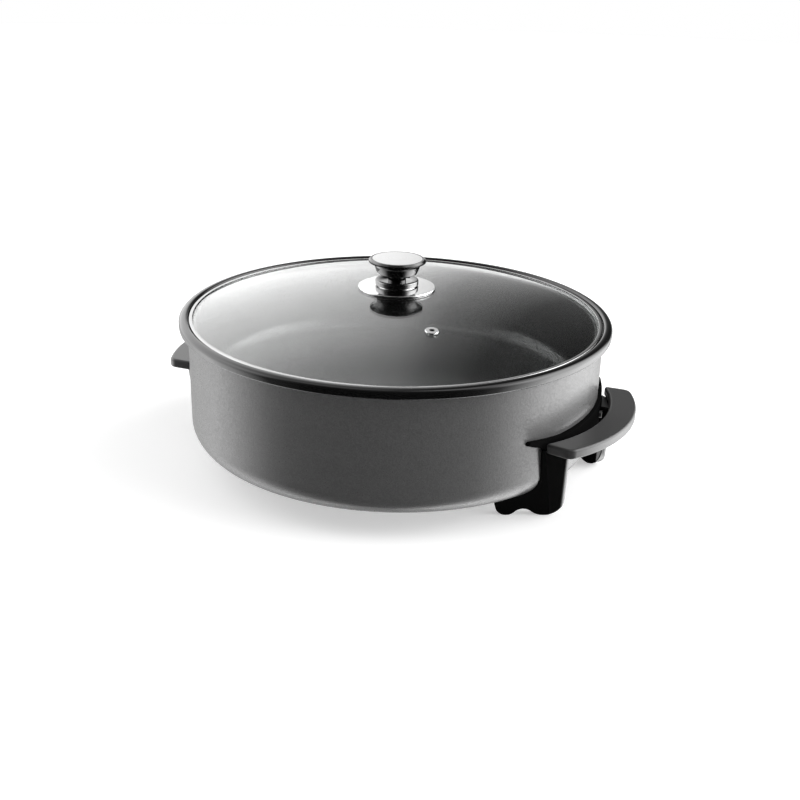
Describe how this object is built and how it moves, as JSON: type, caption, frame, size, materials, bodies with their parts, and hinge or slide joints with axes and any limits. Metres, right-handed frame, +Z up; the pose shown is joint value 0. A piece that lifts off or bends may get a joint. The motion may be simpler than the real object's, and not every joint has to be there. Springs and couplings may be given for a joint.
{
  "type": "electric skillet",
  "caption": "Large round electric skillet with a deep coated pan, crescent side grips on twin-toed feet, and a domed lift-off glass lid with a turned knob.",
  "frame": {"origin": "on the table, on the pan's vertical axis", "axes": "+Z up; X through both handles, with the inlet at -X; the steam vent is towards +X and -Y"},
  "size_m": [0.4964, 0.43, 0.2007],
  "materials": {
    "pan_enamel": "cast aluminium, black gloss non-stick coating",
    "shell_paint": "grey pebbled paint on drawn steel",
    "cover_steel": "pressed zinc-plated steel",
    "screw_steel": "zinc-plated",
    "insulation": "mineral fibre felt",
    "heater_sheath": "heat-stained sheath",
    "pin_metal": "nickel-plated brass",
    "ceramic": "white ceramic",
    "sleeve_steel": "drawn tube",
    "inlet_plastic": "heat-resistant moulding",
    "contact_metal": "spring strip",
    "bracket_plastic": "heat-resistant moulding, low gloss",
    "grip_plastic": "satin moulding",
    "lid_glass": "clear tempered glass",
    "band_steel": "polished stainless steel",
    "vent_steel": "polished stainless steel",
    "gasket_rubber": "silicone",
    "plate_steel": "polished stainless steel",
    "knob_gloss": "heat-resistant moulding, high gloss",
    "knob_satin": "satin spun aluminium"
  },
  "bodies": {
    "pan_body": {"inner_pan": "pan_enamel", "outer_shell": "shell_paint", "base_cover": "cover_steel", "base_cover_screws": "screw_steel", "insulation_pad": "insulation", "heating_element": "heater_sheath", "terminal_pins": "pin_metal", "terminal_bushings": "ceramic", "probe_sleeve": "sleeve_steel", "inlet_guard": "inlet_plastic", "inlet_screws": "screw_steel", "earth_contacts": "contact_metal", "handle_bracket_right": "bracket_plastic", "handle_bracket_left": "bracket_plastic", "grip_right": "grip_plastic", "grip_left": "grip_plastic", "grip_screws_right": "screw_steel", "grip_screws_left": "screw_steel", "bracket_screws_right": "screw_steel", "bracket_screws_left": "screw_steel"},
    "lid": {"lid_glass": "lid_glass", "lid_band": "band_steel", "steam_vent": "vent_steel", "knob_gasket": "gasket_rubber", "knob_plate": "plate_steel", "knob_collar": "knob_gloss", "knob_body": "knob_gloss", "knob_insert": "knob_satin", "knob_washer": "screw_steel", "knob_screw": "screw_steel"}
  },
  "joints": [
    {"name": "lid_lift", "type": "slide", "parent": "pan_body", "child": "lid", "axis": [0, 0, 1], "range_m": [0, 0.12]}
  ]
}
